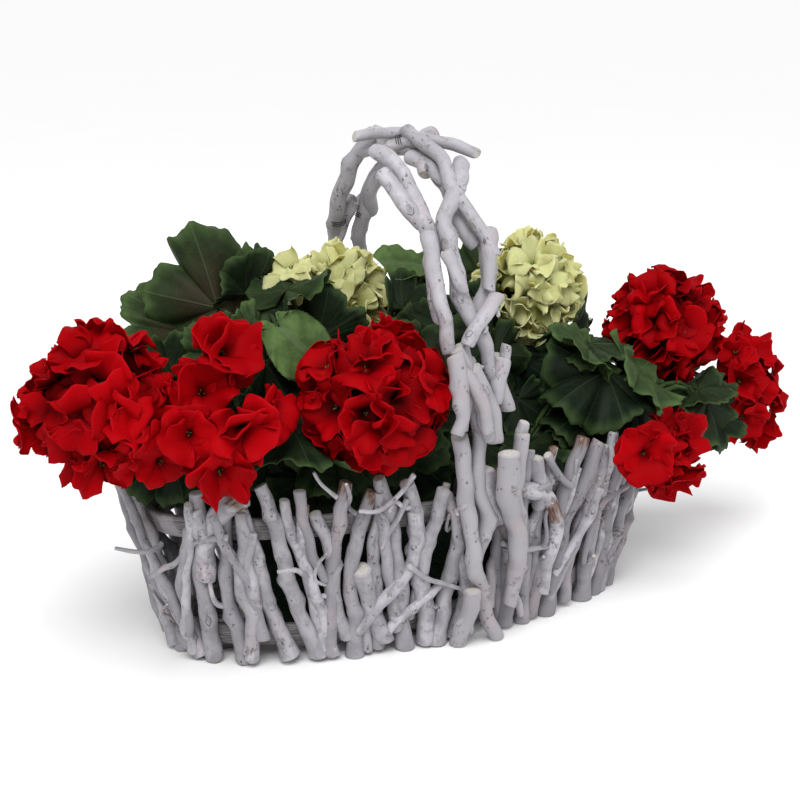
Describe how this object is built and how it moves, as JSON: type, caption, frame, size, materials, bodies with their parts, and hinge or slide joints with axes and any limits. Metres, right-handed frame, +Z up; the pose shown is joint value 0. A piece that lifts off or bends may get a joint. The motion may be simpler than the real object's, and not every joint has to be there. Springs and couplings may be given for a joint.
{
  "type": "flower basket arrangement",
  "caption": "Long oval basket of whitewashed branches with a fixed arched handle, filled with round red and cream flower heads among lobed green leaves.",
  "frame": {"origin": "on the surface that the basket stands on, under the middle of its oval floor", "axes": "+X along the long side of the basket, +Y to its far long side, +Z up"},
  "size_m": [0.5864, 0.2283, 0.321],
  "materials": {
    "branches": "whitewashed bark, matt, with dark specks, cracks and knots",
    "strips": "greyed bare wood strips, matt",
    "red_petals": "saturated red woven petals, soft and matt",
    "cream_petals": "cream petals with a yellow-green tint, soft and matt",
    "leaves": "dark green coated leaves and stems, slight sheen",
    "foam": "dark green floral foam, porous and matt"
  },
  "bodies": {
    "root": {"floor_slat_1": "strips", "floor_slat_2": "strips", "floor_slat_3": "strips", "hoop_lower": "strips", "hoop_upper": "strips", "wall_branch_01": "branches", "wall_branch_02": "branches", "wall_branch_03": "branches", "wall_branch_04": "branches", "wall_branch_05": "branches", "wall_branch_06": "branches", "wall_branch_07": "branches", "wall_branch_08": "branches", "wall_branch_09": "branches", "wall_branch_10": "branches", "wall_branch_11": "branches", "wall_branch_12": "branches", "wall_branch_13": "branches", "wall_branch_14": "branches", "wall_branch_15": "branches", "wall_branch_16": "branches", "wall_branch_17": "branches", "wall_branch_18": "branches", "wall_branch_19": "branches", "wall_branch_20": "branches", "handle_branch_01": "branches", "handle_branch_02": "branches", "handle_branch_03": "branches", "handle_branch_04": "branches", "handle_branch_05": "branches", "handle_branch_06": "branches", "handle_branch_07": "branches", "handle_branch_08": "branches", "handle_branch_09": "branches", "handle_branch_10": "branches", "handle_branch_11": "branches", "handle_branch_12": "branches", "handle_branch_13": "branches", "handle_branch_14": "branches", "handle_branch_15": "branches", "handle_branch_16": "branches", "handle_branch_17": "branches", "red_bloom_left": "red_petals", "red_bloom_centre": "red_petals", "red_bloom_right": "red_petals", "red_bloom_loose_left": "red_petals", "red_bloom_low_right": "red_petals", "red_bloom_far_right": "red_petals", "cream_bloom_left": "cream_petals", "cream_bloom_right": "cream_petals", "leafy_stem_left": "leaves", "leafy_stem_front_left": "leaves", "leafy_stem_back_left": "leaves", "leafy_stem_front_right": "leaves", "leafy_stem_back_right": "leaves", "leafy_stem_right_end": "leaves", "foam_block": "foam"}
  },
  "joints": []
}
